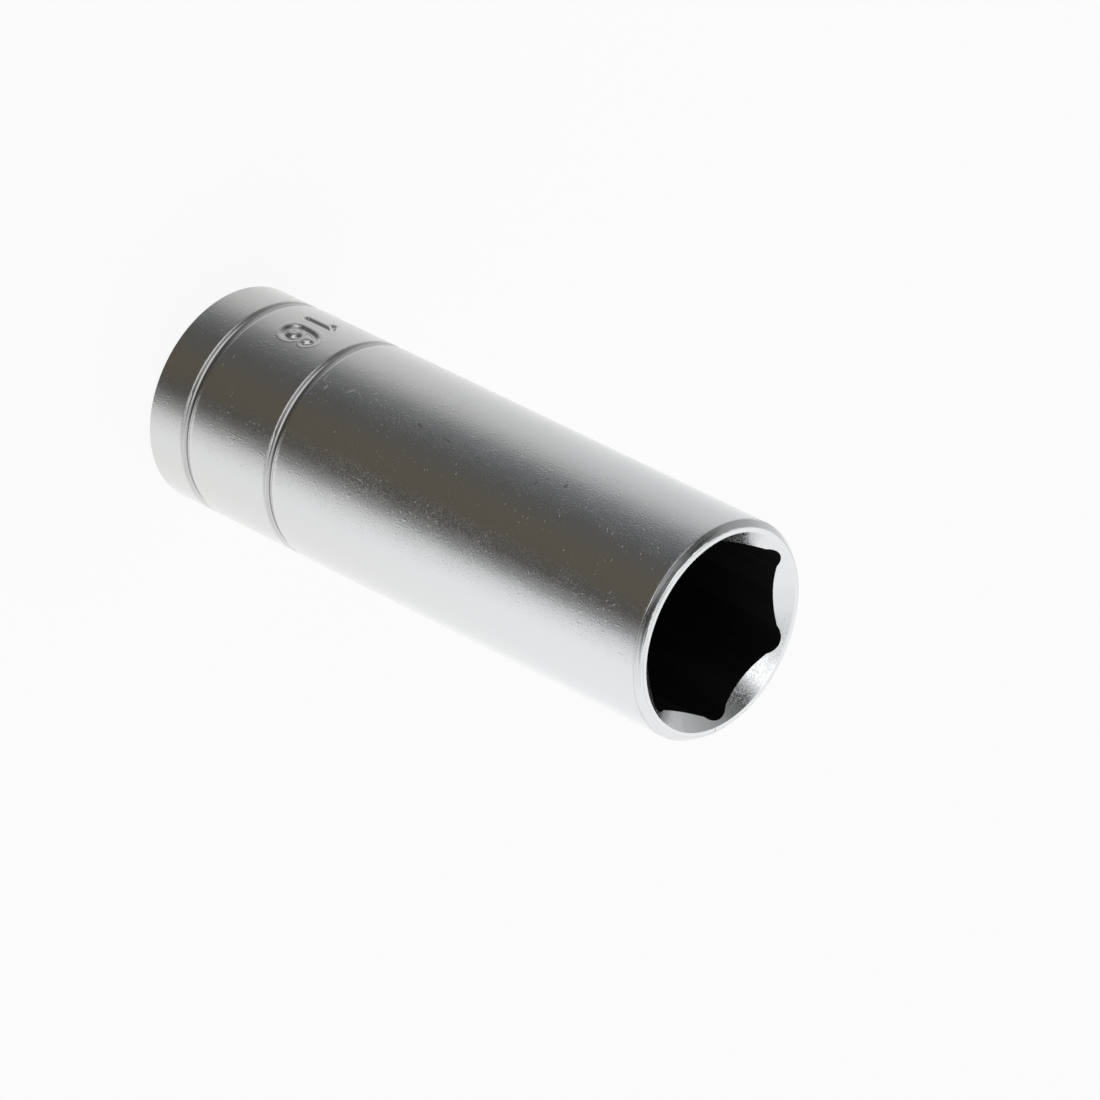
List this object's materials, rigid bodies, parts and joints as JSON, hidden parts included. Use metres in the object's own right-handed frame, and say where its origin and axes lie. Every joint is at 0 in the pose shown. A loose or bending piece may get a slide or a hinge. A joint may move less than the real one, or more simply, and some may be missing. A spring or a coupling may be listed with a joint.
{
  "type": "spark plug socket",
  "caption": "Deep round hexagon socket for a spark plug, with a square drive, two turned rings and a rubber insert that grips the plug.",
  "frame": {"origin": "centre of the drive end's face, on which the socket stands", "axes": "+Z along the axis from the drive end to the hexagonal mouth, +X square to one flat of the hexagon and to one side of the drive square"},
  "size_m": [0.0212, 0.0212, 0.0635],
  "materials": {
    "chrome_plate": "satin chrome plate, near black inside the hexagon",
    "insert_rubber": "matt black moulded rubber"
  },
  "bodies": {
    "root": {"socket_body": "chrome_plate", "retaining_insert": "insert_rubber"}
  },
  "joints": []
}
